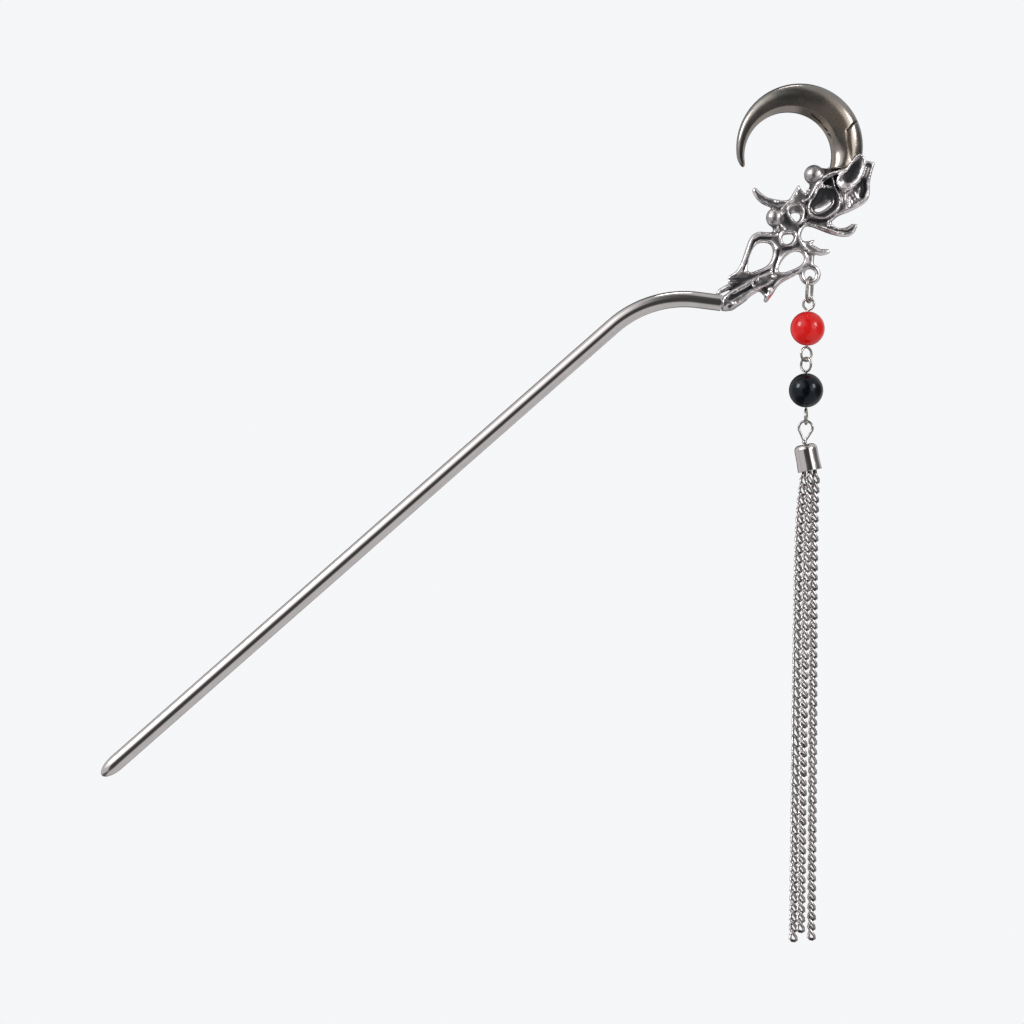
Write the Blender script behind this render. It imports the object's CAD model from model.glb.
import math

import bpy
import bmesh
import numpy as np
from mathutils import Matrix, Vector


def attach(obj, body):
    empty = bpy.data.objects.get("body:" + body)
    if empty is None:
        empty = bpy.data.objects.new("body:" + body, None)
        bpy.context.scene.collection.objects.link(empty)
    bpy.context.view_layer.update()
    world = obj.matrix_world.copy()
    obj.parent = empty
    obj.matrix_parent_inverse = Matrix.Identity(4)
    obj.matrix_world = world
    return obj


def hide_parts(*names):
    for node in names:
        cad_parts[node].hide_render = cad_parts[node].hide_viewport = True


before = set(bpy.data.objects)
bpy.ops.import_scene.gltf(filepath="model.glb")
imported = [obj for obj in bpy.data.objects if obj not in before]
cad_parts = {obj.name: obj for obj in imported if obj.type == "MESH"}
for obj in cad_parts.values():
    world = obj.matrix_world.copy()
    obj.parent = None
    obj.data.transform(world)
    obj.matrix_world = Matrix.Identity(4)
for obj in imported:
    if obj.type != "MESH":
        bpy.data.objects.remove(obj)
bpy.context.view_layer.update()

scene = bpy.context.scene


# Stem
# A round steel rod with a bullet tip, bent once just below the head.
# It is drawn, bent hot, then polished bright; its last millimetres are a peg in the head.

STEM_R = 1.43
STEM_SLOPE = 41.3
STEM_TIP_AT = -59.2
STEM_TIP_LENGTH = 3.6
BEND_AT = 60
BEND_R = 18.8
BEND_TURN = 48.6

# The stem behind its bend, as rows of (distance, radius): the rod, its shoulder and its peg
STEM_NECK = ((0.4, STEM_R), (1.4, STEM_R), (2.6, STEM_R), (3.7, STEM_R), (3.95, STEM_R),
             (4.07, 1.41), (4.1, 1.36), (4.1, 1.0), (4.14, 0.9), (5.0, 0.9), (5.7, 0.87),
             (5.8, 0.7))


def put(tree, kind, inputs=None, **settings):
    """Adds one shader node. inputs gives each socket a number, a colour or the output of
    another node."""
    made = tree.nodes.new("ShaderNode" + kind)
    for name, value in settings.items():
        setattr(made, name, value)
    for key, value in (inputs or {}).items():
        if isinstance(value, bpy.types.NodeSocket):
            tree.links.new(value, made.inputs[key])
        else:
            made.inputs[key].default_value = value
    return made


def ramp(tree, value, stops):
    """A colour that follows value through the stops: (position, red, green, blue) or
    (position, gray)."""
    made = put(tree, "ValToRGB", {"Fac": value})
    keys = made.color_ramp.elements
    while len(keys) < len(stops):
        keys.new(0.5)
    for key, (at, *shade) in zip(keys, stops):
        key.position = at
        key.color = (*(shade if len(shade) == 3 else shade * 3), 1)
    return made.outputs["Color"]


def mixed(tree, share, low, high, kind="MIX"):
    """Blends two colours: low where share is 0 and high where it is 1."""
    made = put(tree, "Mix", data_type="RGBA", blend_type=kind)
    for key, value in ((0, share), (6, low), (7, high)):
        if isinstance(value, bpy.types.NodeSocket):
            tree.links.new(value, made.inputs[key])
        else:
            made.inputs[key].default_value = value if key == 0 else (*value, 1)
    return made.outputs[2]


def grain(tree, scale, detail=3.0, stretch=(1, 1, 1), turn=(0, 0, 0), rough=0.5):
    """Noise on Object coordinates. scale is in marks per millimetre, stretched along each axis."""
    place = put(tree, "Mapping", {
        "Vector": put(tree, "TexCoord").outputs["Object"],
        "Rotation": tuple(math.radians(a) for a in turn),
        "Scale": tuple(1000 * s for s in stretch)})
    return put(tree, "TexNoise", {"Vector": place.outputs[0], "Scale": scale, "Detail": detail,
                                  "Roughness": rough}).outputs["Fac"]


def new_finish(name, **fixed):
    """A material with one Principled shader; fixed gives its constant sockets by name."""
    made = bpy.data.materials.new(name)
    made.use_nodes = True
    shader = made.node_tree.nodes["Principled BSDF"]
    for key, value in fixed.items():
        shader.inputs[key.replace("_", " ")].default_value = value
    return made, made.node_tree, shader


def wire_up(tree, shader, colour, roughness, bumps):
    """Joins patterns to the shader. Each bump is (height, depth in millimetres, strength)."""
    tree.links.new(colour, shader.inputs["Base Color"])
    tree.links.new(roughness, shader.inputs["Roughness"])
    normal = None
    for height, depth, strength in bumps:
        made = put(tree, "Bump", {"Height": height, "Distance": depth * 0.001,
                                  "Strength": strength})
        if normal is not None:
            tree.links.new(normal, made.inputs["Normal"])
        normal = made.outputs["Normal"]
    tree.links.new(normal, shader.inputs["Normal"])


def rod(across, up, half_width, half_depth, sides, closed=False):
    """Grid of points of a rod whose middle line runs through (across, up) in the XZ plane.
    At each station the section is an oval: the middle, plus half_width times the cosine of
    the turn along the line's normal, plus half_depth times its sine along Y."""
    line = np.stack([across, up], axis=1)
    if closed:
        step = np.roll(line, -1, axis=0) - np.roll(line, 1, axis=0)
    else:
        step = np.gradient(line, axis=0)
    step /= np.linalg.norm(step, axis=1)[:, None]
    turn = np.linspace(0, 2 * np.pi, sides, endpoint=False)
    reach = np.broadcast_to(half_width, len(line))[:, None] * np.cos(turn)
    return np.stack([
        line[:, :1] - step[:, 1:] * reach,
        np.broadcast_to(half_depth, len(line))[:, None] * np.sin(turn),
        line[:, 1:] + step[:, :1] * reach], axis=2)


def skin(points, closed):
    """Vertices and faces of a grid of points (rows, columns, 3) whose columns go round. If it
    is closed, the last row joins the first, and else each end row gets a pole in its middle.
    The faces are turned outwards by the sign of the volume: the sum of
    corner . (corner x corner) over the faces."""
    rows, columns, _ = points.shape
    at = np.arange(rows * columns).reshape(rows, columns)
    ahead = np.roll(at, -1, axis=0) if closed else at[1:]
    here = at if closed else at[:-1]
    quads = np.stack([here, np.roll(here, -1, 1), np.roll(ahead, -1, 1), ahead], axis=2)
    quads = quads.reshape(-1, 4)
    corners = points.reshape(-1, 3)
    fans = np.zeros((0, 3), int)
    if not closed:
        corners = np.vstack([corners, points[0].mean(0), points[-1].mean(0)])
        low, high = np.full(columns, len(corners) - 2), np.full(columns, len(corners) - 1)
        fans = np.vstack([np.stack([low, np.roll(at[0], -1), at[0]], 1),
                          np.stack([high, at[-1], np.roll(at[-1], -1)], 1)])
    halves = np.vstack([quads[:, :3], quads[:, [0, 2, 3]], fans])
    a, b, c = (corners[halves[:, k]] - corners.mean(0) for k in range(3))
    if np.einsum("ij,ij->i", a, np.cross(b, c)).sum() < 0:
        quads, fans = quads[:, ::-1], fans[:, ::-1]
    return corners, quads, fans


def joined(grids):
    """Vertices and faces of the skins of several grids, each (points, closed), in one list."""
    corners, faces, count = [], [], 0
    for points, closed in grids:
        spots, quads, fans = skin(points, closed)
        corners.append(spots)
        faces += (quads + count).tolist() + (fans + count).tolist()
        count += len(spots)
    return np.vstack(corners), faces


def make_piece(name, grids, body, finish, stands_for=(), sharp=None):
    """Puts grids of points in millimetres into one mesh. It rides on a body, takes the finish,
    and stands for the CAD nodes named. sharp is an angle in degrees."""
    corners, faces = joined(grids)
    mesh = bpy.data.meshes.new(name)
    mesh.from_pydata(corners * 0.001, [], faces)
    return dress(name, mesh, body, finish, stands_for, sharp)


def dress(name, mesh, body, finish, stands_for=(), sharp=None):
    """Makes the piece from its mesh: smooth faces, finish, body, record slot and CAD nodes."""
    mesh.update()
    mesh.polygons.foreach_set("use_smooth", np.ones(len(mesh.polygons), bool))
    if sharp is not None:
        mesh.set_sharp_from_angle(angle=math.radians(sharp))
    mesh.materials.clear()
    mesh.materials.append(finish)
    piece = bpy.data.objects.new(name, mesh)
    scene.collection.objects.link(piece)
    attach(piece, body)
    if stands_for:
        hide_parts(*stands_for)
    return piece


def polished_steel(name, scratch_turn):
    """Bright steel: faint clouds in the colour, hairline scratches and a very slight wobble."""
    made, tree, shader = new_finish(name, Metallic=1.0, Specular_IOR_Level=0.5)
    clouds = grain(tree, 0.35, 4)
    hairs = grain(tree, 1.0, 4, stretch=(0.25, 6, 6), turn=scratch_turn, rough=0.65)
    spots = grain(tree, 2.2, 2)
    colour = mixed(tree, ramp(tree, spots, [(0.0, 0.0), (0.68, 0.0), (0.74, 0.55), (1.0, 0.6)]),
                   (0.815, 0.77, 0.76), (0.56, 0.53, 0.52))
    colour = mixed(tree, ramp(tree, clouds, [(0.3, 0.0), (0.75, 1.0)]), colour,
                   (0.735, 0.695, 0.686))
    rough = ramp(tree, hairs, [(0.35, 0.06), (0.6, 0.10), (0.8, 0.2)])
    wire_up(tree, shader, colour, rough,
            [(clouds, 0.02, 0.25), (hairs, 0.004, 0.35), (spots, 0.006, 0.2)])
    return made


def stem_line():
    """Middle line and radius of the stem, from the tip to the end of its peg. The line is
    straight, then an arc of BEND_R that turns it down by BEND_TURN, then straight again. The
    tip's radius is the stem's times the square root of 1 - r^2, where r is the distance from
    the tip's base as a share of its length."""
    tip = STEM_TIP_LENGTH * (1 - np.cos(np.linspace(0.06, np.pi / 2, 14)))
    straight = np.linspace(STEM_TIP_LENGTH, BEND_AT - STEM_TIP_AT, 90)[1:]
    down = math.radians(BEND_TURN)
    bend = np.linspace(0, down, 30)[1:]
    neck, neck_radius = np.array(STEM_NECK).T
    along = np.concatenate([STEM_TIP_AT + tip, STEM_TIP_AT + straight,
                            BEND_AT + BEND_R * np.sin(bend),
                            BEND_AT + BEND_R * math.sin(down) + neck * math.cos(down)])
    rise = np.concatenate([0 * tip, 0 * straight, -BEND_R * (1 - np.cos(bend)),
                           -BEND_R * (1 - math.cos(down)) - neck * math.sin(down)])
    rounded = STEM_R * np.sqrt(np.clip(1 - (1 - tip / STEM_TIP_LENGTH) ** 2, 0, 1))
    radius = np.concatenate([rounded, np.full(len(straight) + len(bend), STEM_R), neck_radius])
    slope = math.radians(STEM_SLOPE)
    return (along * math.cos(slope) - rise * math.sin(slope),
            along * math.sin(slope) + rise * math.cos(slope), radius)


stem_across, stem_up, stem_radius = stem_line()
stem_steel = polished_steel("polished_stem_steel", (0, STEM_SLOPE, 0))
make_piece("polished_stem", [(rod(stem_across, stem_up, stem_radius, stem_radius, 64), False)],
           "pin", stem_steel, ["stem"], sharp=38)


# Openwork head
# One casting of white metal, pierced between its ridges. It is blackened all over, then
# rubbed bright on the crests, so the valleys, dishes and back walls of the cells stay dark.

HEAD_AT = (63.7, 44.1)
HEAD_VOXEL = 0.125
FILL_ROUNDS = 60
FILL_MOST = 0.26
CREST_CELL = 0.2
CREST_REACH = 5
EMPTY = -9.0

# Finer crests on both faces, as rows of (across, up, height, half width)
HEAD_CRESTS = {
    "collar under the horn": [
        (22.35, 23.3, 2.0, 0.2), (21.6, 22.75, 2.3, 0.36), (20.5, 22.2, 2.3, 0.42),
        (19.3, 21.85, 2.05, 0.42), (18.2, 21.15, 1.75, 0.4), (17.2, 20.0, 1.6, 0.36)],
    "floor of the collar": [
        (19.0, 22.3, 0.7, 0.4), (20.1, 22.65, 0.7, 0.5), (21.2, 22.85, 0.7, 0.45)],
    "floor of the arch": [
        (9.0, 10.7, 0.5, 0.3), (7.6, 10.95, 0.5, 0.3), (6.3, 10.6, 0.5, 0.3),
        (5.6, 9.6, 0.5, 0.25)],
    "floor of the strut": [(15.5, 8.0, 0.5, 0.3), (15.45, 6.1, 0.5, 0.3)],
    "root of the spike": [
        (15.7, 9.4, 0.66, 0.35), (16.4, 8.95, 0.72, 0.62), (17.4, 8.4, 0.68, 0.64),
        (18.5, 8.4, 0.58, 0.5), (19.2, 8.55, 0.45, 0.36)],
    "lower thorn": [(8.85, 2.2, 0.98, 0.32), (8.5, 1.15, 0.98, 0.44), (8.2, 0.5, 0.85, 0.44)],
    "hanging ring": [(15.75 + 1.5 * math.cos(t), 4.49 + 1.5 * math.sin(t), 0.52, 0.45)
                     for t in np.linspace(0, 2 * np.pi, 13)],
    "inner lip of the leaf": [
        (20.75, 21.2, 1.95, 0.16), (20.95, 20.55, 2.0, 0.22), (21.5, 20.1, 2.0, 0.26),
        (22.2, 20.05, 2.0, 0.26), (22.95, 20.6, 2.0, 0.24), (23.75, 21.75, 2.0, 0.2),
        (24.25, 23.1, 2.0, 0.18), (24.4, 24.3, 1.95, 0.14)],
    "lid of the eye": [
        (11.75, 15.35, 0.5, 0.2), (12.2, 15.8, 0.62, 0.3), (12.9, 16.05, 0.66, 0.34),
        (13.6, 15.95, 0.62, 0.3), (14.1, 15.5, 0.5, 0.2)],
    "bar of the eye": [
        (11.45, 15.2, 0.75, 0.14), (12.5, 14.2, 0.85, 0.2), (13.5, 13.2, 0.75, 0.14)],
    "brow of the hollow": [
        (16.7, 18.7, 1.1, 0.18), (17.3, 19.5, 1.2, 0.24), (18.4, 19.95, 1.2, 0.26),
        (19.4, 19.6, 1.15, 0.22), (19.95, 18.9, 1.1, 0.16)],
    "fold under the eye": [
        (10.65, 14.0, 0.55, 0.16), (11.3, 13.6, 0.6, 0.22), (12.1, 13.5, 0.55, 0.16)],
    "stripe of the wing": [
        (22.1, 18.7, 1.25, 0.16), (22.0, 17.6, 1.1, 0.24), (22.35, 16.5, 0.9, 0.18)],
    "ripple of the wing": [
        (23.3, 19.2, 0.75, 0.16), (23.6, 18.3, 0.66, 0.26), (23.4, 17.4, 0.6, 0.18)],
    "crest of the hook": [
        (15.6, 13.15, 1.0, 0.14), (17.4, 12.75, 1.0, 0.17), (19.4, 12.0, 0.95, 0.16),
        (21.4, 11.55, 0.84, 0.12)],
    "crest of the arch": [
        (8.9, 11.35, 0.9, 0.12), (7.0, 11.55, 0.95, 0.17), (5.6, 10.75, 0.95, 0.17),
        (4.85, 8.8, 0.92, 0.16), (4.0, 6.4, 0.84, 0.13)],
    "crest under the arch": [
        (9.6, 7.6, 0.86, 0.12), (8.9, 6.2, 0.9, 0.17), (7.6, 5.2, 0.88, 0.15),
        (6.2, 4.65, 0.8, 0.1)],
    "seam of the socket": [(2.2, 0.9, 1.5, 0.1), (4.1, 1.95, 1.5, 0.14), (5.9, 3.05, 1.32, 0.1)]}

# Drops of metal on both faces, as (across, up, height, radius)
HEAD_DROPS = ((9.8, 17.15, 0.75, 0.26), (18.05, 19.75, 1.2, 0.42), (19.0, 12.95, 0.85, 0.3),
              (13.2, 18.4, 0.6, 0.24), (15.4, 19.2, 0.8, 0.3), (5.7, 2.4, 1.25, 0.26),
              (6.6, 3.4, 1.05, 0.28), (2.3, -0.75, 1.5, 0.3), (24.2, 19.3, 0.62, 0.22),
              (22.9, 17.2, 0.78, 0.2))

# Marks pressed or cut into both faces, as (line of (across, up), half width, depth)
HEAD_MARKS = (
    ([(1.55, -1.15), (2.1, -0.9)], 0.22, 0.35), ([(2.0, 0.35), (5.4, 2.35)], 0.3, 0.35),
    ([(7.7, 1.9), (8.2, 1.3)], 0.3, 0.22), ([(24.95, 20.7), (25.2, 19.4), (24.7, 18.2)], 0.36, 0.42),
    ([(18.3, 20.6), (19.0, 20.9)], 0.5, 0.5), ([(20.1, 12.3), (22.3, 12.0), (23.3, 12.6)], 0.15, 0.22),
    ([(3.3, 3.75), (1.6, 3.6)], 0.16, 0.2), ([(21.9, 21.0), (23.3, 22.9)], 0.75, 0.3),
    ([(8.9, 10.75), (7.0, 10.85), (6.0, 10.3), (5.3, 8.6), (4.7, 6.6), (4.1, 5.2)], 0.16, 0.3),
    ([(10.2, 8.6), (10.0, 7.4), (9.6, 6.2), (9.3, 5.0)], 0.25, 0.22),
    ([(13.6, 9.6), (12.4, 9.1), (11.0, 8.9)], 0.25, 0.2), ([(8.6, 5.2), (7.2, 4.5)], 0.2, 0.2),
    ([(14.0, 12.9), (15.6, 14.0), (17.2, 13.7), (18.6, 13.9)], 0.2, 0.22),
    ([(15.2, 17.9), (15.2, 16.0), (14.9, 14.4)], 0.2, 0.25),
    ([(19.9, 21.9), (18.9, 21.7), (17.9, 20.75), (17.0, 19.2), (16.0, 17.3)], 0.14, 0.25))

# Where the blackening is left thicker (+) or rubbed thinner (-), as (line, half width, amount)
HEAD_STAINS = (
    ([(23.9, 24.0), (23.6, 22.3), (22.7, 20.9)], 0.75, 0.55),
    ([(24.95, 20.9), (25.1, 19.4), (24.7, 18.2)], 0.42, 0.9),
    ([(21.2, 19.3), (21.6, 17.8), (22.2, 16.3)], 0.7, -0.85),
    ([(24.95, 24.1), (25.35, 22.6), (25.0, 21.6)], 0.5, -0.6),
    ([(21.4, 20.6), (22.4, 22.4)], 0.6, -0.3), ([(22.7, 19.2), (23.5, 17.3)], 1.2, -0.75),
    ([(25.9, 22.9), (25.75, 21.4)], 0.5, -0.55), ([(17.3, 19.6), (19.3, 19.7)], 0.3, -0.35),
    ([(20.2, 14.9), (23.4, 16.2)], 0.5, -0.2), ([(14.6, 12.6), (17.6, 12.6)], 0.5, -0.1),
    ([(16.6, 17.3), (18.9, 18.4)], 1.1, 0.5), ([(18.4, 20.9), (19.1, 20.4)], 0.5, 0.5),
    ([(17.1, 22.9), (17.7, 22.6)], 0.5, 0.45), ([(18.1, 21.9), (19.2, 22.5)], 0.5, -0.3),
    ([(9.0, 14.9), (9.3, 13.9)], 0.8, -0.05), ([(11.0, 14.2), (11.9, 13.1)], 0.7, 0.35),
    ([(1.6, 0.1), (5.3, 2.3)], 0.32, 0.8), ([(7.6, 1.8), (8.3, 3.0)], 0.5, 0.25),
    ([(3.0, 3.4), (5.4, 3.9)], 0.25, 0.45))

# The two lobes, as (across, up, radius)
HEAD_LOBES = ((16.48, 21.9, 2.0), (9.6, 14.4, 1.75))


def near_line(points, line, width):
    """1 on a line of (across, up) points of the head's drawing, falling off as a bell curve of
    the distance to its nearest straight piece: exp(-(distance / width)^2)."""
    flat = points[..., [0, 2]] - HEAD_AT
    closest = np.full(flat.shape[:-1], 1e9)
    for start, end in zip(np.array(line[:-1], float), np.array(line[1:], float)):
        way = end - start
        share = np.clip(((flat - start) @ way) / (way @ way), 0, 1)
        away = flat - start - share[..., None] * way
        closest = np.minimum(closest, np.linalg.norm(away, axis=-1))
    return np.exp(-(closest / width) ** 2)


def rounded_line(rows, steps):
    """Rows eased into a smooth run: between two rows each column follows the cubic through
    them whose slopes are half the difference of their neighbours."""
    rows = np.array(rows, float)
    slope = np.gradient(rows, axis=0)
    t = np.linspace(0, 1, steps, endpoint=False)[:, None]
    runs = [rows[i] * (2 * t ** 3 - 3 * t ** 2 + 1) + slope[i] * (t ** 3 - 2 * t ** 2 + t)
            + rows[i + 1] * (3 * t ** 2 - 2 * t ** 3) + slope[i + 1] * (t ** 3 - t ** 2)
            for i in range(len(rows) - 1)]
    return np.vstack(runs + [rows[-1:]])


def crest_grids():
    """Grids of the finer crests and drops: a crest is a rod with its top at its height on each
    face, and a half depth of twice its half width, or its height if less; a drop is a ball.
    Each comes as (points, closed), and none is closed."""
    grids = []
    for rows in HEAD_CRESTS.values():
        line = rounded_line(rows, 4)
        deep = np.minimum(2 * line[:, 3], line[:, 2])
        for side in (-1, 1):
            grid = rod(HEAD_AT[0] + line[:, 0], HEAD_AT[1] + line[:, 1], line[:, 3], deep, 8)
            grid[..., 1] += side * (line[:, 2] - deep)[:, None]
            grids.append((grid, False))
    polar = np.linspace(0.25, np.pi - 0.25, 7)
    around = np.linspace(0, 2 * np.pi, 10, endpoint=False)
    ball = np.stack([np.outer(np.sin(polar), np.cos(around)),
                     np.outer(np.sin(polar), np.sin(around)),
                     np.outer(np.cos(polar), np.ones(10))], axis=2)
    for across, up, height, radius in HEAD_DROPS:
        grids += [(ball * radius + (HEAD_AT[0] + across, side * height, HEAD_AT[1] + up), False)
                  for side in (-1, 1)]
    return grids


def keep_number(mesh, name, values):
    """Keeps one number for each vertex, which the finish reads by its name."""
    mesh.attributes.new(name, "FLOAT", "POINT").data.foreach_set("value", values)


def rows_of(items, field, columns, kind=float):
    """One field of all the vertices or edges of a mesh, a row each."""
    values = np.empty(len(items) * columns, kind)
    items.foreach_get(field, values)
    return values.reshape(-1, columns)


def set_and_turn(mesh, spots):
    """Puts the points into the mesh and gives back the normals that they make."""
    mesh.vertices.foreach_set("co", spots.ravel())
    mesh.update()
    return rows_of(mesh.vertices, "normal", 3)


def fused_casting():
    """The CAD head's own shape and the finer crests, remeshed into one skin of small squares
    with sides of HEAD_VOXEL. The mesh is in millimetres."""
    merged = bmesh.new()
    merged.from_mesh(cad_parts["openwork_head"].data)
    bmesh.ops.scale(merged, vec=(1000, 1000, 1000), verts=merged.verts)
    bmesh.ops.remove_doubles(merged, verts=merged.verts, dist=1e-4)
    corners, faces = joined(crest_grids())
    rough = bpy.data.meshes.new("head_rough")
    rough.from_pydata(corners, [], faces)
    merged.from_mesh(rough)
    merged.to_mesh(rough)
    merged.free()
    block = bpy.data.objects.new("head_rough", rough)
    scene.collection.objects.link(block)
    remesh = block.modifiers.new("voxels", "REMESH")
    remesh.mode = "VOXEL"
    remesh.voxel_size = HEAD_VOXEL
    fused = bpy.data.meshes.new_from_object(
        block.evaluated_get(bpy.context.evaluated_depsgraph_get()))
    bpy.data.objects.remove(block)
    return fused


def behind_crests(spots):
    """How far each point lies behind the crests near it: the drawing is cut into cells of
    CREST_CELL, and the point's height over the middle plane is taken from the greatest one
    on its face within CREST_REACH cells."""
    column = ((spots[:, [0, 2]] - spots[:, [0, 2]].min(0)) / CREST_CELL).astype(int)
    shape = column.max(0) + 1
    span = range(2 * CREST_REACH + 1)
    disc = [(i, j) for i in span for j in span
            if math.hypot(i - CREST_REACH, j - CREST_REACH) < CREST_REACH + 0.05]
    sunk = np.zeros(len(spots))
    for side in (-1, 1):
        height = np.full(shape, EMPTY)
        np.maximum.at(height, (column[:, 0], column[:, 1]), side * spots[:, 1])
        wide = np.pad(height, CREST_REACH, constant_values=EMPTY)
        crest = np.max([wide[i:i + shape[0], j:j + shape[1]] for i, j in disc], axis=0)
        near = side * spots[:, 1] > 0
        sunk[near] = (crest[column[:, 0], column[:, 1]] - side * spots[:, 1])[near]
    return sunk


def cast_head():
    """The fused casting, softened. Each smoothing round moves a point towards its neighbours'
    mean by 0.55 and back by 0.57, which rounds ridges without thinning them. Then the hollows
    fill as metal does in a mould: a point moves by 0.6 of the way to that mean along its
    normal, but only outwards and by FILL_MOST in all. The marks are pressed in along Y, with
    a slight waviness, and each point keeps four numbers: how far it stands above the surface
    around it (relief) and behind the crests (sunk), its stain, and whether it is on a lobe."""
    fused = fused_casting()
    spots = rows_of(fused.vertices, "co", 3)
    edges = rows_of(fused.edges, "vertices", 2, int)
    ends, others = np.vstack([edges, edges[:, ::-1]]).T
    count = np.bincount(ends, minlength=len(spots)).astype(float)

    def pull(points):
        """The way from each point to the mean of its neighbours, found along the edges."""
        total = [np.bincount(ends, points[others, axis], len(points)) for axis in range(3)]
        return np.stack(total, axis=1) / count[:, None] - points

    for _ in range(6):
        for share in (0.55, -0.57):
            spots += share * pull(spots)
    filled = np.zeros(len(spots))
    for turn in range(FILL_ROUNDS):
        if turn % 7 == 0:
            normals = set_and_turn(fused, spots)
        outwards = 0.6 * np.clip(np.einsum("ij,ij->i", pull(spots), normals), 0, None)
        outwards = np.minimum(outwards, FILL_MOST - filled)
        filled += outwards
        spots += outwards[:, None] * normals

    normals = set_and_turn(fused, spots)
    facing = np.clip(np.abs(normals[:, 1]) * 1.4 - 0.2, 0, 1) * np.sign(normals[:, 1])
    press = sum(depth * near_line(spots, line, width) for line, width, depth in HEAD_MARKS)
    x, z = spots[:, 0] - HEAD_AT[0], spots[:, 2] - HEAD_AT[1]
    wavy = 0.022 * np.sin(3.1 * x + 1.7 * z) * np.sin(2.3 * z - 1.1 * x + 0.6)
    mottled = near_line(spots, [(22.7, 19.2), (23.6, 17.3)], 0.9)
    wavy += 0.07 * mottled * np.sin(7.1 * x - 2.0 * z) * np.sin(6.3 * z + 1.5 * x)
    spots[:, 1] -= (press + wavy) * facing
    for _ in range(4):
        spots += 0.5 * pull(spots)

    soft = spots.copy()
    for _ in range(34):
        soft += 0.6 * pull(soft)
    normals = set_and_turn(fused, spots)
    keep_number(fused, "relief", np.einsum("ij,ij->i", spots - soft, normals))
    keep_number(fused, "sunk", behind_crests(spots))
    keep_number(fused, "stain", sum(amount * near_line(spots, line, width)
                                    for line, width, amount in HEAD_STAINS))
    keep_number(fused, "lobe", np.max([
        np.clip(6 * (1 - np.sqrt((x - across) ** 2 + spots[:, 1] ** 2 + (z - up) ** 2) / radius),
                0, 1) for across, up, radius in HEAD_LOBES], axis=0))
    fused.vertices.foreach_set("co", (spots * 0.001).ravel())
    return fused


def kept_numbers(tree, *names):
    """The numbers kept on the vertices under these names, one output each."""
    return [put(tree, "Attribute", attribute_name=name).outputs["Fac"] for name in names]


def scaled(tree, value, low, high, at_low=0.0, at_high=1.0):
    """Runs evenly from at_low to at_high as value runs from low to high, and stops there."""
    ends = {"Value": value, 1: low, 2: high, 3: at_low, 4: at_high}
    return put(tree, "MapRange", ends).outputs[0]


def combined(tree, first, second, how):
    """One step of arithmetic between two patterns."""
    return put(tree, "Math", {0: first, 1: second}, operation=how).outputs[0]


def antiqued_casting():
    """Cast metal: bright on the crests, blackened in the valleys, with soft pits and grain."""
    made, tree, shader = new_finish("antiqued_casting", Specular_IOR_Level=0.5)
    relief, sunk, stain, lobe = kept_numbers(tree, "relief", "sunk", "stain", "lobe")
    pits = grain(tree, 2.6, 4)
    dirt = grain(tree, 0.7, 3)
    rubbed = combined(tree, scaled(tree, relief, -0.08, 0.085, 0.04),
                      scaled(tree, sunk, 0.35, 1.6, 0.0, 0.54), "SUBTRACT")
    rubbed = combined(tree, rubbed, scaled(tree, dirt, 0.3, 0.7, -0.2, 0.2), "ADD")
    rubbed = combined(tree, rubbed, stain, "SUBTRACT")
    colour = ramp(tree, rubbed, [(0.0, 0.028, 0.0285, 0.032), (0.1, 0.066, 0.064, 0.066),
                                 (0.2, 0.128, 0.1205, 0.1225), (0.38, 0.326, 0.306, 0.309),
                                 (0.6, 0.625, 0.588, 0.593), (0.8, 0.812, 0.768, 0.774),
                                 (1.0, 0.912, 0.864, 0.87)])
    rough = ramp(tree, rubbed, [(0.0, 0.58), (0.3, 0.42), (0.6, 0.28), (1.0, 0.2)])
    matte = combined(tree, lobe, scaled(tree, pits, 0.3, 0.7, 0.6, 1.0), "MULTIPLY")
    colour = mixed(tree, matte, colour, (0.367, 0.35, 0.354))
    rough = mixed(tree, matte, rough, (0.36, 0.36, 0.36))
    tree.links.new(ramp(tree, rubbed, [(0.0, 0.6), (0.35, 1.0)]), shader.inputs["Metallic"])
    wire_up(tree, shader, colour, rough, [(dirt, 0.05, 0.2), (pits, 0.02, 0.25)])
    return made


dress("cast_openwork_head", cast_head(), "pin", antiqued_casting(),
      ["openwork_head"])


# Horn
# A forged crescent of dark gunmetal, its root set in the casting's leaf. It is satin
# polished, with a flat filed along its inner edge and a few scored marks near the root.

# The circles of its outer and inner edge, as (across, up, radius)
HORN_OUTER = (14.0, 26.85, 11.02)
HORN_INNER = (11.87, 25.22, 7.58)

# Where the root starts and how far the horn turns in degrees, and the shares of its two ends
HORN_START, HORN_SWEEP = -20.5, 217.5
HORN_ROOT, HORN_TIP = 0.014, 0.045
HORN_FULLNESS = 0.78
HORN_FLAT = 0.36


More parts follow.
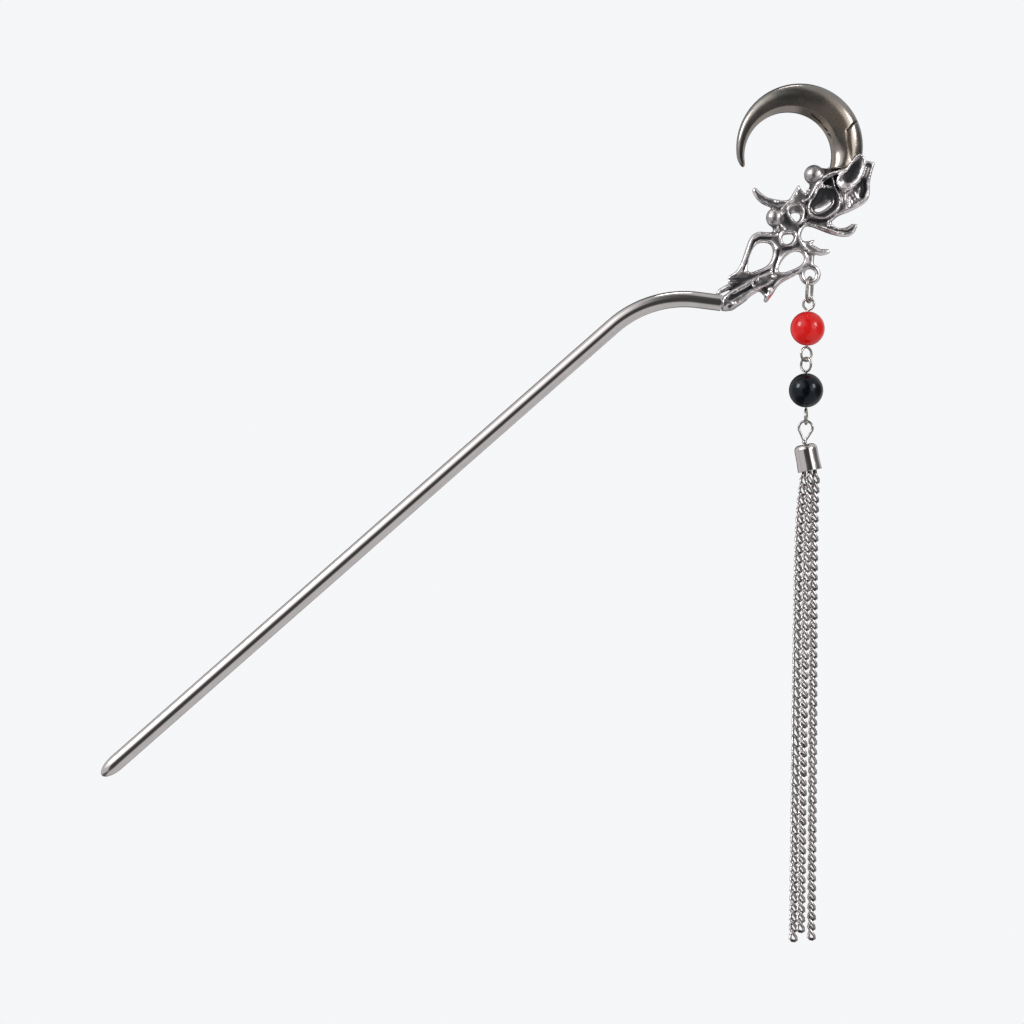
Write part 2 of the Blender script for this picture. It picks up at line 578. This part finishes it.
def horn_grid():
    """The horn runs between two circles: at a share u of its turn, its outer edge is on one
    and its inner edge on the other, and towards the tip the outer one grows by 0.22 u^9. Its
    ends are rounded over the shares HORN_ROOT and HORN_TIP as the side of a ball is.
    Across a section, w runs from 0 at the inner edge to 2 at the outer one. The half depth is
    (1 - |w - 1|^n)^(1 / n), flatter than an oval; below HORN_FLAT it falls in a straight line
    instead, which is the filed flat. Both fade into a plain oval at the root."""
    root = HORN_ROOT * (1 - np.cos(np.linspace(0.3, np.pi / 2, 6)))
    tip = HORN_TIP * (1 - np.cos(np.linspace(0.08, np.pi / 2, 10)))
    share = np.concatenate([root, np.linspace(HORN_ROOT, 0.4, 150)[1:-1],
                            np.linspace(0.4, 1 - HORN_TIP, 120)[:-1], 1 - tip[::-1]])
    turn = np.radians(HORN_START + HORN_SWEEP * share)
    away = np.stack([np.cos(turn), np.sin(turn)], axis=1)
    outer = np.array(HORN_OUTER[:2]) + (HORN_OUTER[2] + 0.22 * share[:, None] ** 9) * away
    inner = np.array(HORN_INNER[:2]) + HORN_INNER[2] * away
    half = np.linalg.norm(outer - inner, axis=1) / 2
    across = (outer - inner) / (2 * half[:, None])
    edge = np.clip(np.minimum(share / HORN_ROOT, (1 - share) / HORN_TIP), 0, 1)
    half *= np.sqrt(1 - (1 - edge) ** 2)

    w = np.concatenate([2 - 1.3 * (1 - np.cos(np.linspace(0, np.pi / 2, 24))),
                        np.linspace(0.7, HORN_FLAT + 0.03, 7)[1:],
                        [HORN_FLAT + 0.012, HORN_FLAT - 0.012],
                        np.linspace(HORN_FLAT - 0.04, 0.0, 9)])
    grown = np.clip((share - 0.10) / 0.14, 0, 1)
    grown = (grown * grown * (3 - 2 * grown))[:, None]
    power = 2 + grown * np.where(w > 1, 0.35, 1.3)
    full = (1 - np.abs(w - 1) ** power).clip(0) ** (1 / power)
    inner_power = 2 + 1.3 * grown
    at_flat = (1 - (1 - HORN_FLAT) ** inner_power) ** (1 / inner_power)
    filed = 0.10 + (at_flat - 0.10) * (w / HORN_FLAT)
    filed[:, -1] = 0.0
    depth = np.where(w < HORN_FLAT, full + grown * (filed - full), full)
    reach = half[:, None] * (w - 1)
    middle = (outer + inner) / 2
    x = HEAD_AT[0] + middle[:, :1] + across[:, :1] * reach
    z = HEAD_AT[1] + middle[:, 1:] + across[:, 1:] * reach
    y = HORN_FULLNESS * half[:, None] * depth
    front = np.stack([x, -y, z], axis=2)
    back = np.stack([x, y, z], axis=2)[:, -2:0:-1]
    return np.concatenate([front, back], axis=1)


def satin_gunmetal():
    """Dark warm metal: browner on the inner side, black in the marks, with soft clouds."""
    made, tree, shader = new_finish("satin_gunmetal", Specular_IOR_Level=0.5)
    clouds = grain(tree, 0.5, 4)
    hairs = grain(tree, 2.5, 4, rough=0.7)
    browned, marked, dulled = kept_numbers(tree, "browned", "marked", "dulled")
    colour = ramp(tree, clouds, [(0.25, 0.30, 0.277, 0.255), (0.5, 0.355, 0.329, 0.306),
                                 (0.75, 0.40, 0.377, 0.357)])
    colour = mixed(tree, browned, colour, (0.38, 0.317, 0.262))
    colour = mixed(tree, dulled, colour, (0.13, 0.135, 0.13))
    specks = scaled(tree, grain(tree, 3.5, 4, rough=0.6), 0.3, 0.7, 0.55, 1.25)
    dark = ramp(tree, combined(tree, marked, specks, "MULTIPLY"), [(0.22, 0.0), (0.6, 1.0)])
    colour = mixed(tree, dark, colour, (0.022, 0.022, 0.026))
    rough = mixed(tree, dark, ramp(tree, hairs, [(0.3, 0.17), (0.55, 0.23), (0.8, 0.31)]),
                  (0.5, 0.5, 0.5))
    tree.links.new(scaled(tree, browned, 0.0, 1.0, 1.0, 0.91), shader.inputs["Metallic"])
    wire_up(tree, shader, colour, rough, [(clouds, 0.03, 0.25), (hairs, 0.006, 0.3)])
    return made


def horn_marks(points):
    """The horn's wear, each mark a near_line of its own: a notched seam along the filed flat,
    a groove and a fold down the root's side, a pitted patch over the leaf, and a swelling
    where the horn meets the head. Gives the points with the marks pressed in along Y, how
    brown each point is, how far it is marked and how dull it is."""
    ripple = 0.5 + 0.5 * np.sin(9.0 * (points[..., 0] + 1.3 * points[..., 2]))
    seam = near_line(points, [(15.9, 32.4), (17.2, 31.3), (18.4, 29.9), (19.3, 28.3)], 0.16)
    seam *= 0.35 + 0.65 * ripple
    groove = near_line(points, [(24.1, 31.4), (22.9, 30.4), (22.1, 29.4)], 0.15)
    fold = near_line(points, [(22.1, 29.4), (22.15, 27.5), (22.5, 25.6), (22.75, 24.4)], 0.32)
    pitted = near_line(points, [(24.3, 25.9), (24.2, 25.2), (24.3, 24.4)], 0.55) * ripple
    facing = np.clip(-points[..., 1] / 0.4, -1, 1)
    swelling = near_line(points, [(20.3, 23.1), (21.0, 23.3)], 1.6)
    depth = 0.07 * seam + 0.16 * groove + 0.09 * fold + 0.12 * pitted - 0.42 * swelling
    pressed = points + np.stack([0 * depth, depth * facing, 0 * depth], axis=-1)
    outwards = np.linalg.norm(points[..., [0, 2]] - HEAD_AT - np.array(HORN_OUTER[:2]), axis=-1)
    root_side = np.clip((points[..., 0] - HEAD_AT[0] - 12.0) / 6.0, 0, 1)
    brown = np.clip((10.4 - outwards) / 1.6, 0, 1) * (0.35 + 0.65 * root_side)
    brown *= 1 - 0.8 * near_line(points, [(20.6, 26.5), (20.9, 23.5)], 1.3)
    dull = 0.75 * near_line(points, [(10.5, 35.3), (14.0, 35.5), (17.3, 34.6)], 1.1)
    dull += 0.55 * near_line(points, [(19.7, 29.2), (20.3, 27.4)], 0.8)
    marked = np.clip(seam + 0.9 * groove + 0.5 * fold + 0.8 * pitted, 0, 1)
    return pressed, (("browned", brown), ("marked", marked), ("dulled", dull))


horn_points, horn_wear = horn_marks(horn_grid())
horn = make_piece("crescent_horn", [(horn_points, False)], "pin",
                  satin_gunmetal(), ["horn"])
for name, values in horn_wear:
    at_poles = [values[0].mean(), values[-1].mean()]
    keep_number(horn.data, name, np.concatenate([values.ravel(), at_poles]))


# Hanging link
# An oval link of steel wire through the head's hanging ring, soldered shut.
# Every wire below it is the same steel, a little darker where wires rub.

# The head's hanging ring, as (across, up, radius)
RING_LINE = (15.75, 4.46, 1.42)
RING_WIRE_R = 0.5

LINK_LEAN = 3.5
LINK_TURN = 65
LINK_HALF_LENGTH, LINK_HALF_WIDTH = 2.12, 1.25
LINK_WIRE_R = 0.28
WIRE_GAP = 0.1
LINK_TOP = RING_WIRE_R + LINK_WIRE_R + WIRE_GAP


def shift(x, y, z):
    """Matrix that moves by x, y, z."""
    made = np.eye(4)
    made[:3, 3] = x, y, z
    return made


def lean(degrees):
    """Matrix that turns about Y."""
    c, s = math.cos(math.radians(degrees)), math.sin(math.radians(degrees))
    return np.array([[c, 0, s, 0], [0, 1, 0, 0], [-s, 0, c, 0], [0, 0, 0, 1]])


def spin(degrees):
    """Matrix that turns about Z."""
    c, s = math.cos(math.radians(degrees)), math.sin(math.radians(degrees))
    return np.array([[c, -s, 0, 0], [s, c, 0, 0], [0, 0, 1, 0], [0, 0, 0, 1]])


def placed(points, matrix):
    """Points in a piece's own frame, put where the matrix says."""
    return points @ matrix[:3, :3].T + matrix[:3, 3]


def steel_wire(name, light, dark, rough):
    """Drawn wire: light steel with darker rubbed clouds and faint lines."""
    made, tree, shader = new_finish(name, Metallic=1.0, Specular_IOR_Level=0.5)
    clouds = grain(tree, 1.6, 4)
    fine = grain(tree, 9.0, 2)
    colour = mixed(tree, ramp(tree, clouds, [(0.42, 0.0), (0.72, 1.0)]), light, dark)
    shine = ramp(tree, fine, [(0.3, rough), (0.7, rough + 0.12)])
    wire_up(tree, shader, colour, shine, [(clouds, 0.015, 0.3), (fine, 0.004, 0.4)])
    return made


link_steel = steel_wire("link_steel", (0.50, 0.48, 0.46), (0.2, 0.19, 0.18), 0.16)
ring_bottom = shift(HEAD_AT[0] + RING_LINE[0], 0, HEAD_AT[1] + RING_LINE[1] - RING_LINE[2])
at_link = ring_bottom @ lean(LINK_LEAN)


def oval_line(half_len, half_width, count):
    """Closed middle line of a link: two half circles of half_width joined by straights.
    Equal steps of length run round it."""
    straight = 2 * (half_len - half_width)
    bow = math.pi * half_width
    s = np.linspace(0, 2 * (straight + bow), count, endpoint=False)
    s2 = s % (straight + bow)
    turn = np.clip((s2 - straight) / half_width, 0, math.pi)
    x = half_width * np.cos(turn)
    z = np.minimum(s2, straight) - straight / 2 + half_width * np.sin(turn)
    side = np.where(s < straight + bow, 1, -1)
    return x * side, z * side


link_x, link_z = oval_line(LINK_HALF_LENGTH, LINK_HALF_WIDTH, 72)
link_points = placed(rod(link_x, link_z, LINK_WIRE_R, LINK_WIRE_R, 16, closed=True),
                     at_link @ shift(0, 0, LINK_TOP - LINK_HALF_LENGTH) @ spin(LINK_TURN))
make_piece("oval_hanging_link", [(link_points, True)], "link", link_steel,
           ["hanging_link"])


# Beads
# Two round pressed-glass beads, one red and one black, drilled through and fire polished.
# The edges of the drilled hole are slightly rounded.

BEAD_R = 3.0
RED_TOP_EYE, RED_LOW_EYE = 0.98, 1.19
BLACK_TOP_EYE, BLACK_LOW_EYE = 1.19, 1.3
EYE_WIRE_R = 0.22
EYE_STAND = 0.3
RED_LEAN = 2.6
BORE_R = 0.45

# Heights of the beads' middles and of their lowest eyes' ends, each from the eye above
RED_AT = LINK_WIRE_R + EYE_WIRE_R + WIRE_GAP - (2 * RED_TOP_EYE + EYE_STAND + BEAD_R)
RED_LOW = RED_AT - (BEAD_R + EYE_STAND + 2 * RED_LOW_EYE)
BLACK_AT = 2 * EYE_WIRE_R + WIRE_GAP - (2 * BLACK_TOP_EYE + EYE_STAND + BEAD_R)
BLACK_LOW = BLACK_AT - (BEAD_R + EYE_STAND + 2 * BLACK_LOW_EYE)
at_red = at_link @ shift(0, 0, LINK_TOP - 2 * LINK_HALF_LENGTH) @ lean(RED_LEAN - LINK_LEAN)
at_black = at_red @ shift(0, 0, RED_LOW) @ lean(-RED_LEAN)


def turned(outline, sides):
    """Grid of a turned piece: each point (radius, height) of the outline swept round Z."""
    turn = np.linspace(0, 2 * np.pi, sides, endpoint=False)
    radius, height = np.array(outline, float).T
    return np.stack([radius[:, None] * np.cos(turn), radius[:, None] * np.sin(turn),
                     np.broadcast_to(height[:, None], (len(radius), sides))], axis=2)


def drilled_bead():
    """Outline of a ball of BEAD_R with a hole along Z: its side is the circle, its hole a
    straight line, and a small round edge joins them. Closed, so it is swept round as a ring."""
    rim = math.asin((BORE_R + 0.11) / BEAD_R)
    turn = np.linspace(rim, np.pi - rim, 49)
    ball = np.stack([BEAD_R * np.sin(turn), BEAD_R * np.cos(turn)], axis=1)
    high = BEAD_R * math.cos(rim)
    edge = [(BORE_R + 0.05, high - 0.012), (BORE_R + 0.012, high - 0.05), (BORE_R, high - 0.12)]
    bore = [(BORE_R, z) for z in np.linspace(-high + 0.5, high - 0.5, 7)]
    low = [(r, -z) for r, z in edge]
    return np.vstack([ball, low, bore, edge[::-1]])


def bead_glass(name, deep, light, rough, tint):
    """Opaque glass: a nearly even colour with faint swirls and a few tiny surface pits."""
    made, tree, shader = new_finish(name, Metallic=0.0, IOR=1.5, Specular_Tint=(*tint, 1))
    swirl = grain(tree, 0.35, 3)
    pits = grain(tree, 3.0, 3)
    colour = mixed(tree, ramp(tree, swirl, [(0.35, 0.0), (0.7, 1.0)]), deep, light)
    shine = ramp(tree, pits, [(0.3, rough), (0.72, rough + 0.03), (0.8, rough + 0.16)])
    wire_up(tree, shader, colour, shine, [(swirl, 0.01, 0.06), (pits, 0.003, 0.08)])
    return made


for name, frame_at, drop, slot, finish, node in (
        ("red_glass_bead", at_red, RED_AT, "red_glass",
         bead_glass("red_bead_glass", (0.52, 0.004, 0.004), (0.62, 0.007, 0.006), 0.13,
                    (1.0, 1.0, 1.0)), "red_bead"),
        ("black_glass_bead", at_black, BLACK_AT, "black_glass",
         bead_glass("black_bead_glass", (0.0008, 0.001, 0.0016), (0.0022, 0.0028, 0.004), 0.13,
                    (0.6, 0.69, 0.8)), "black_bead")):
    make_piece(name, [(placed(turned(drilled_bead(), 96), frame_at @ shift(0, 0, drop)), True)],
               "drop", finish, [node], sharp=50)


# Eye pins
# A straight wire through each bead, bent with pliers into a round eye above and below it.
# The cut end of each eye stops against the wire's own shaft.

EYE_KINK = 0.35


def wire_end(line, radius, spacing):
    """A wire along a line of (x, z): stations at equal steps with a rounded end at the last
    one. The radius falls as the side of a ball does over the last radius of length."""
    steps = np.concatenate([[0], np.cumsum(np.linalg.norm(np.diff(line, axis=0), axis=1))])
    total = steps[-1]
    tail = total - radius * np.array([1, 0.8, 0.55, 0.3, 0.12, 0.02])
    s = np.concatenate([np.arange(0, total - radius, spacing), tail])
    left = np.clip((total - s) / radius, 0, 1)
    size = radius * np.sqrt(np.clip(1 - (1 - left) ** 2, 0.0004, 1))
    return np.interp(s, steps, line[:, 0]), np.interp(s, steps, line[:, 1]), size


def eye_line(reach, eye_r, kink):
    """A shaft that rises from the bead's middle, then an eye centred over it. A turn of
    radius kink takes the wire off the shaft until it meets the eye's circle; the sine of the
    angle where they meet is kink over (eye_r + kink). The eye stops against the shaft."""
    meet = math.asin(kink / (eye_r + kink))
    centre = reach + eye_r
    off = np.linspace(np.pi, np.pi / 2 + meet, 12)
    low = centre - (eye_r + kink) * math.cos(meet)
    stop = 2 * math.asin(1.06 * EYE_WIRE_R / eye_r) - meet
    loop = np.linspace(-np.pi / 2 + meet, 1.5 * np.pi - stop, 60)
    return np.vstack([
        np.stack([np.zeros(12), np.linspace(0, low - 0.02, 12)], axis=1),
        np.stack([kink + kink * np.cos(off), low + kink * np.sin(off)], axis=1),
        np.stack([eye_r * np.cos(loop), centre + eye_r * np.sin(loop)], axis=1)[1:]])


pin_steel = steel_wire("eye_pin_steel", (0.58, 0.555, 0.53), (0.25, 0.235, 0.22), 0.2)
for name, frame_at, drop, top_r, low_r, top_turn, low_turn, node in (
        ("red_bead_eye_pin", at_red, RED_AT, RED_TOP_EYE, RED_LOW_EYE, -25, 36, "red_eye_pin"),
        ("black_bead_eye_pin", at_black, BLACK_AT, BLACK_TOP_EYE, BLACK_LOW_EYE, -50, 78,
         "black_eye_pin")):
    halves = []
    for eye_r, turn, way in ((top_r, top_turn, 1), (low_r, low_turn, -1)):
        line = eye_line(BEAD_R + EYE_STAND, eye_r, EYE_KINK)
        across, up, radius = wire_end(line, EYE_WIRE_R, 0.12)
        wire = rod(across, up, radius, radius, 14) * (1, 1, way)
        halves.append((placed(wire, frame_at @ shift(0, 0, drop) @ spin(turn)), False))
    make_piece(name, halves, "drop", pin_steel, [node])


# Tassel bail
# A teardrop of wire whose legs are soldered into a small ball, with a riveted shaft that
# turns in the cap's hole.

BAIL_LEAN, CAP_TILT = 5, 11
BAIL_TURN = -12
BAIL_TOP = 0.52
BOW_R = 1.2
BAIL_LEG = 2.5
BAIL_WIRE_R = 0.22
BALL_TO_CAP = 0.6
at_bail = at_black @ shift(0, 0, BLACK_LOW) @ lean(BAIL_LEAN)
at_ball = at_bail @ shift(0, 0, BAIL_TOP - BOW_R - BAIL_LEG) @ lean(-BAIL_LEAN - CAP_TILT)
at_cap = at_ball @ shift(0, 0, -BALL_TO_CAP)


def bail_line():
    """Middle line of the bail: an arc of BOW_R about its centre, then a straight leg on each
    side that runs on the tangent down to the ball, BAIL_LEG below the centre."""
    slope = math.asin(BOW_R / BAIL_LEG)
    arc = np.linspace(-slope, np.pi + slope, 50)
    bow = BOW_R * np.stack([np.cos(arc), np.sin(arc)], axis=1)
    foot = np.array([[0.0, -BAIL_LEG]])
    legs = np.linspace(0, 1, 12)[:, None]
    right = foot + (bow[0] - foot) * legs
    left = bow[-1] + (foot - bow[-1]) * legs
    return np.vstack([right[:-1], bow, left[1:]])


bail = bail_line()
bail_points = placed(rod(bail[:, 0], bail[:, 1], BAIL_WIRE_R, BAIL_WIRE_R, 14),
                     at_bail @ spin(BAIL_TURN) @ shift(0, 0, BAIL_TOP - BOW_R))
ball_turn = np.linspace(0.05, np.pi - 0.45, 16)
ball_outline = np.vstack([np.stack([0.42 * np.sin(ball_turn), 0.42 * np.cos(ball_turn)], axis=1),
                          [(0.21, -0.42), (0.22, -0.6), (0.22, -1.04), (0.7, -1.06),
                           (0.72, -1.2), (0.68, -1.34), (0.05, -1.35)]])
bail_steel = steel_wire("bail_steel", (0.52, 0.495, 0.475), (0.22, 0.205, 0.195), 0.17)
ball_points = placed(turned(ball_outline, 24), at_ball)
make_piece("teardrop_bail", [(bail_points, False), (ball_points, False)], "drop",
           bail_steel, ["tassel_bail"], sharp=50)


# Tassel cap
# A drawn steel cup, closed at the top but for the bail's hole and open below, polished.
# A plain plug inside it carries the loops that the three strands hook on.

def cap_outline():
    """Closed outline of the cup's wall: a small flat top, a shoulder that is a quarter oval of
    1.0 by 0.95, a side that flares by 0.1, a rounded lip, and the same wall inside, 0.25 in."""
    bend = np.linspace(np.pi / 2, 0, 15)[:, None]
    quarter = np.hstack([np.cos(bend), np.sin(bend)])
    half_turn = np.linspace(0, -np.pi, 7)[:, None]
    lip = (1.995, -4.375) + 0.125 * np.hstack([np.cos(half_turn), np.sin(half_turn)])
    return np.vstack([[(0.34, 0.15), (0.4, 0.195), (0.7, 0.2)],
                      (1.02, -0.75) + quarter * (1.0, 0.95),
                      [(2.02, -1.6), (2.02, -2.4), (2.07, -3.4), (2.12, -4.3)], lip, [(1.77, -2.4)],
                      (1.02, -0.75) + quarter[::-1] * (0.75, 0.7), [(0.34, -0.05)]])


cap_steel = polished_steel("polished_cap_steel", (0, CAP_TILT, 0))
make_piece("polished_tassel_cap", [(placed(turned(cap_outline(), 64), at_cap), True)],
           "drop", cap_steel, ["tassel_cap"], sharp=60)
plug_steel = steel_wire("plug_steel", (0.40, 0.38, 0.36), (0.22, 0.21, 0.2), 0.3)
for material_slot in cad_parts["cap_plug"].material_slots:
    material_slot.material = plug_steel


# Chains
# Three strands of fine curb chain. Each link is a twisted oval of wire, so that all of them
# lie the same way. The strands hang half edge on, as slanting bars with small dark gaps.

LINK_PITCH = 1.7
LINK_STEPS = np.linspace(0, 2 * np.pi, 12, endpoint=False) + 0.13
CHAIN_WIRE = 0.28
CHAIN_TOP = 4.66

# Each strand as (piece, CAD node, links, its place in the cap, its way out of it and its
# drift for each millimetre, the turn of its links)
STRANDS = (("left_chain_strand", "chain_left", 48, (-0.95, 0.25, -1.05, 0.55, -0.012), -36),
           ("middle_chain_strand", "chain_middle", 47, (-0.05, -0.75, -0.6, -0.1, -0.015), -58),
           ("right_chain_strand", "chain_right", 48, (0.95, 0.25, -0.25, 0.15, -0.006), -52))


def curb_link():
    """One twisted link: its line is (0.48 cos t - 0.26 sin t, -0.42 sin 2t, 1.05 sin t), so
    its top leans to the left, with a round section of CHAIN_WIRE about it. t runs over
    LINK_STEPS."""
    cos, sin = np.cos(LINK_STEPS), np.sin(LINK_STEPS)
    line = np.stack([0.48 * cos - 0.26 * sin, -0.42 * np.sin(2 * LINK_STEPS), 1.05 * sin],
                    axis=1)
    step = np.stack([-0.48 * sin - 0.26 * cos, -0.84 * np.cos(2 * LINK_STEPS), 1.05 * cos],
                    axis=1)
    step /= np.linalg.norm(step, axis=1)[:, None]
    out = line * (1, 0, 0.6)
    out -= step * (out * step).sum(1)[:, None]
    out /= np.linalg.norm(out, axis=1)[:, None]
    turn = np.linspace(0, 2 * np.pi, 5, endpoint=False)[None, :, None] + 0.3
    section = np.cos(turn) * out[:, None] + np.sin(turn) * np.cross(step, out)[:, None]
    return line[:, None] + CHAIN_WIRE * section


def strand_grids(links, spread, hung):
    """Where each link goes: down the strand by i pitches. The strand starts inside the cap
    and moves across by its way out * (1 - exp(-down / 6)), and by its drift for each
    millimetre, which spread holds. Each link follows the strand's direction there and is
    turned about it by the angle hung, and by sines of its number."""
    start_x, start_y, far_x, far_y, drift = spread
    down = 1.1 + LINK_PITCH * np.arange(links)
    settled, slowing = 1 - np.exp(-down / 6), np.exp(-down / 6) / 6
    centre = np.stack([far_x * settled + drift * down, far_y * settled, -down], axis=1)
    ahead = np.stack([-(far_x * slowing + drift), -far_y * slowing, np.ones(links)], axis=1)
    ahead /= np.linalg.norm(ahead, axis=1)[:, None]
    side = np.cross((0, 1, 0), ahead)
    side /= np.linalg.norm(side, axis=1)[:, None]
    back = np.cross(ahead, side)
    number = np.arange(links)
    wobble = np.radians(hung + 5 * np.sin(2.4 * number + 7 * start_x)
                        + 10 * np.sin(0.17 * number + 3 * start_x))[:, None]
    side, back = (side * np.cos(wobble) + back * np.sin(wobble),
                  back * np.cos(wobble) - side * np.sin(wobble))
    turn = np.stack([side, back, ahead], axis=1)
    points = np.einsum("rcx,nxk->nrck", curb_link(), turn) + centre[:, None, None]
    return placed(points, at_cap @ shift(start_x, start_y, -CHAIN_TOP) @ lean(CAP_TILT))


def chain_finish():
    """The wire's steel, with the links' ends dark where they hook together."""
    made = steel_wire("chain_steel", (0.90, 0.845, 0.832), (0.42, 0.383, 0.37), 0.12)
    tree, shader = made.node_tree, made.node_tree.nodes["Principled BSDF"]
    ends = kept_numbers(tree, "ends")[0]
    plain = shader.inputs["Base Color"].links[0].from_socket
    tree.links.new(mixed(tree, ends, plain, (0.15, 0.133, 0.129)), shader.inputs["Base Color"])
    return made


chain_steel = chain_finish()
for name, node, links, spread, hung in STRANDS:
    points = strand_grids(links, spread, hung)
    strand = make_piece(name, [(link, True) for link in points], "drop",
                        chain_steel, [node])
    dark = np.clip((np.abs(np.sin(LINK_STEPS)) - 0.45) / 0.5, 0, 1)
    keep_number(strand.data, "ends", np.tile(np.repeat(dark, points.shape[2]), links))


# Studio
# A pale floor that curves up on every side, soft light from the left, right and above, and
# the camera in front at the height of the object's middle.

FLOOR_UP = -120.0
FLOOR_R = 350
FLOOR_BEND_R = 850
GLOW_REACH = 2.4

floor_turn = np.linspace(0, np.pi / 2, 24)
rim = np.stack([FLOOR_R + FLOOR_BEND_R * np.sin(floor_turn),
                FLOOR_UP + FLOOR_BEND_R * (1 - np.cos(floor_turn))], axis=1)
floor_points = turned(np.vstack([[(0.001, FLOOR_UP), (150.0, FLOOR_UP)], rim]), 96)
rows, columns, _ = floor_points.shape
at = np.arange(rows * columns).reshape(rows, columns)
tiles = np.stack([at[:-1], np.roll(at[:-1], -1, 1), np.roll(at[1:], -1, 1), at[1:]], axis=2)
mesh = bpy.data.meshes.new("pale_floor")
mesh.from_pydata(floor_points.reshape(-1, 3) * 0.001, [], tiles.reshape(-1, 4).tolist())
mesh.polygons.foreach_set("use_smooth", np.ones(len(mesh.polygons), bool))
paper = bpy.data.materials.new("pale_paper")
paper.use_nodes = True
tree = paper.node_tree
tree.nodes.clear()
glow = put(tree, "Emission", {"Color": (0.916, 0.924, 0.941, 1), "Strength": 1.0})
tree.links.new(glow.outputs[0], put(tree, "OutputMaterial").inputs["Surface"])
mesh.materials.append(paper)
floor = bpy.data.objects.new("pale_floor", mesh)
scene.collection.objects.link(floor)
floor.visible_glossy = False
floor.visible_shadow = False

world = bpy.data.worlds.new("studio")
scene.world = world
world.use_nodes = True
tree = world.node_tree
way = put(tree, "TexCoord").outputs["Generated"]


def oval_glow(centre, radii, stops):
    """Brightness that follows the distance from an oval's centre, seen from the front:
    1 is the oval's edge, and the stops run from 0 to GLOW_REACH of it."""
    place = put(tree, "Mapping", {
        "Vector": way, "Scale": (1 / radii[0], 0, 1 / radii[1]),
        "Location": (-centre[0] / radii[0], 0, -centre[1] / radii[1])})
    off_axis = put(tree, "VectorMath", {0: place.outputs[0]}, operation="LENGTH").outputs["Value"]
    return ramp(tree, scaled(tree, off_axis, 0.0, GLOW_REACH),
                [(at / GLOW_REACH, shade) for at, shade in stops])


def sweep(axis, stops):
    """Brightness that follows one axis of the direction, from -1 to 1."""
    part = put(tree, "SeparateXYZ", {0: way}).outputs[axis]
    return ramp(tree, scaled(tree, part, -1.0, 1.0), [((at + 1) / 2, shade) for at, shade in stops])


# The room: dark round the middle of the front and back, and at the far right
room = oval_glow((-0.08, 0.1), (0.43, 0.8),
                 [(0.0, 0.05), (0.75, 0.06), (0.9, 0.09), (1.0, 0.18), (1.08, 0.40), (1.2, 0.53),
                  (1.6, 0.56)])
room = mixed(tree, 1.0, room, sweep("X", [(-1.0, 1.0), (0.8, 1.0), (0.93, 0.3), (1.0, 0.2)]),
             "MULTIPLY")

# It is darker low on the left too, which gives the stem its contrast from the side
low_left = mixed(tree, 1.0,
                 sweep("X", [(-1.0, 1.0), (-0.22, 1.0), (-0.06, 0.0), (1.0, 0.0)]),
                 sweep("Z", [(-1.0, 1.0), (-0.7, 1.0), (-0.45, 0.0), (1.0, 0.0)]), "MULTIPLY")
room = mixed(tree, low_left, room, (0.12, 0.12, 0.12))

# A broad soft glow high on the left, in front only
left_soft = oval_glow((-0.62, 0.52), (0.4, 0.33),
                      [(0.0, 0.95), (0.6, 0.9), (0.93, 0.66), (1.15, 0.36), (1.4, 0.1),
                       (1.7, 0.02), (2.0, 0.0)])
left_soft = mixed(tree, 1.0, left_soft,
                  sweep("Y", [(-1.0, 1.0), (-0.3, 1.0), (0.0, 0.3), (0.4, 0.0), (1.0, 0.0)]),
                  "MULTIPLY")
tree.links.new(mixed(tree, 1.0, room, left_soft, "ADD"), tree.nodes["Background"].inputs["Color"])


def softbox(name, way, size, brightness, distance=0.55):
    """A flat lamp seen from the object in the direction way; brightness 1 looks white."""
    way = np.array(way, float) / np.linalg.norm(way)
    lamp = bpy.data.lights.new(name, "AREA")
    lamp.shape = "RECTANGLE"
    lamp.size, lamp.size_y = size
    lamp.energy = math.pi * size[0] * size[1] * brightness
    made = bpy.data.objects.new(name, lamp)
    scene.collection.objects.link(made)
    made.location = np.array([0.04, 0, 0.02]) + distance * way
    made.rotation_mode = "QUATERNION"
    made.rotation_quaternion = Vector(way).to_track_quat("Z", "Y")
    made.visible_camera = False
    return made


softbox("right_softbox", (0.64, -0.72, 0.22), (0.24, 0.32), 1.1)
softbox("top_softbox", (0.0, 0.17, 0.985), (0.16, 0.07), 6.0)
softbox("left_spot", (-0.78, -0.39, 0.48), (0.18, 0.22), 8.0)
softbox("right_spot", (0.76, -0.50, 0.41), (0.12, 0.19), 8.5)

camera = bpy.data.objects.new("camera", bpy.data.cameras.new("camera"))
scene.collection.objects.link(camera)
camera.data.lens = 100
camera.data.sensor_width = 36
camera.location = (0.02732, -0.4978, 0.00702)
camera.rotation_euler = (math.pi / 2, 0, 0)
camera.data.clip_start = 0.01
scene.camera = camera
scene.view_settings.view_transform = "Standard"
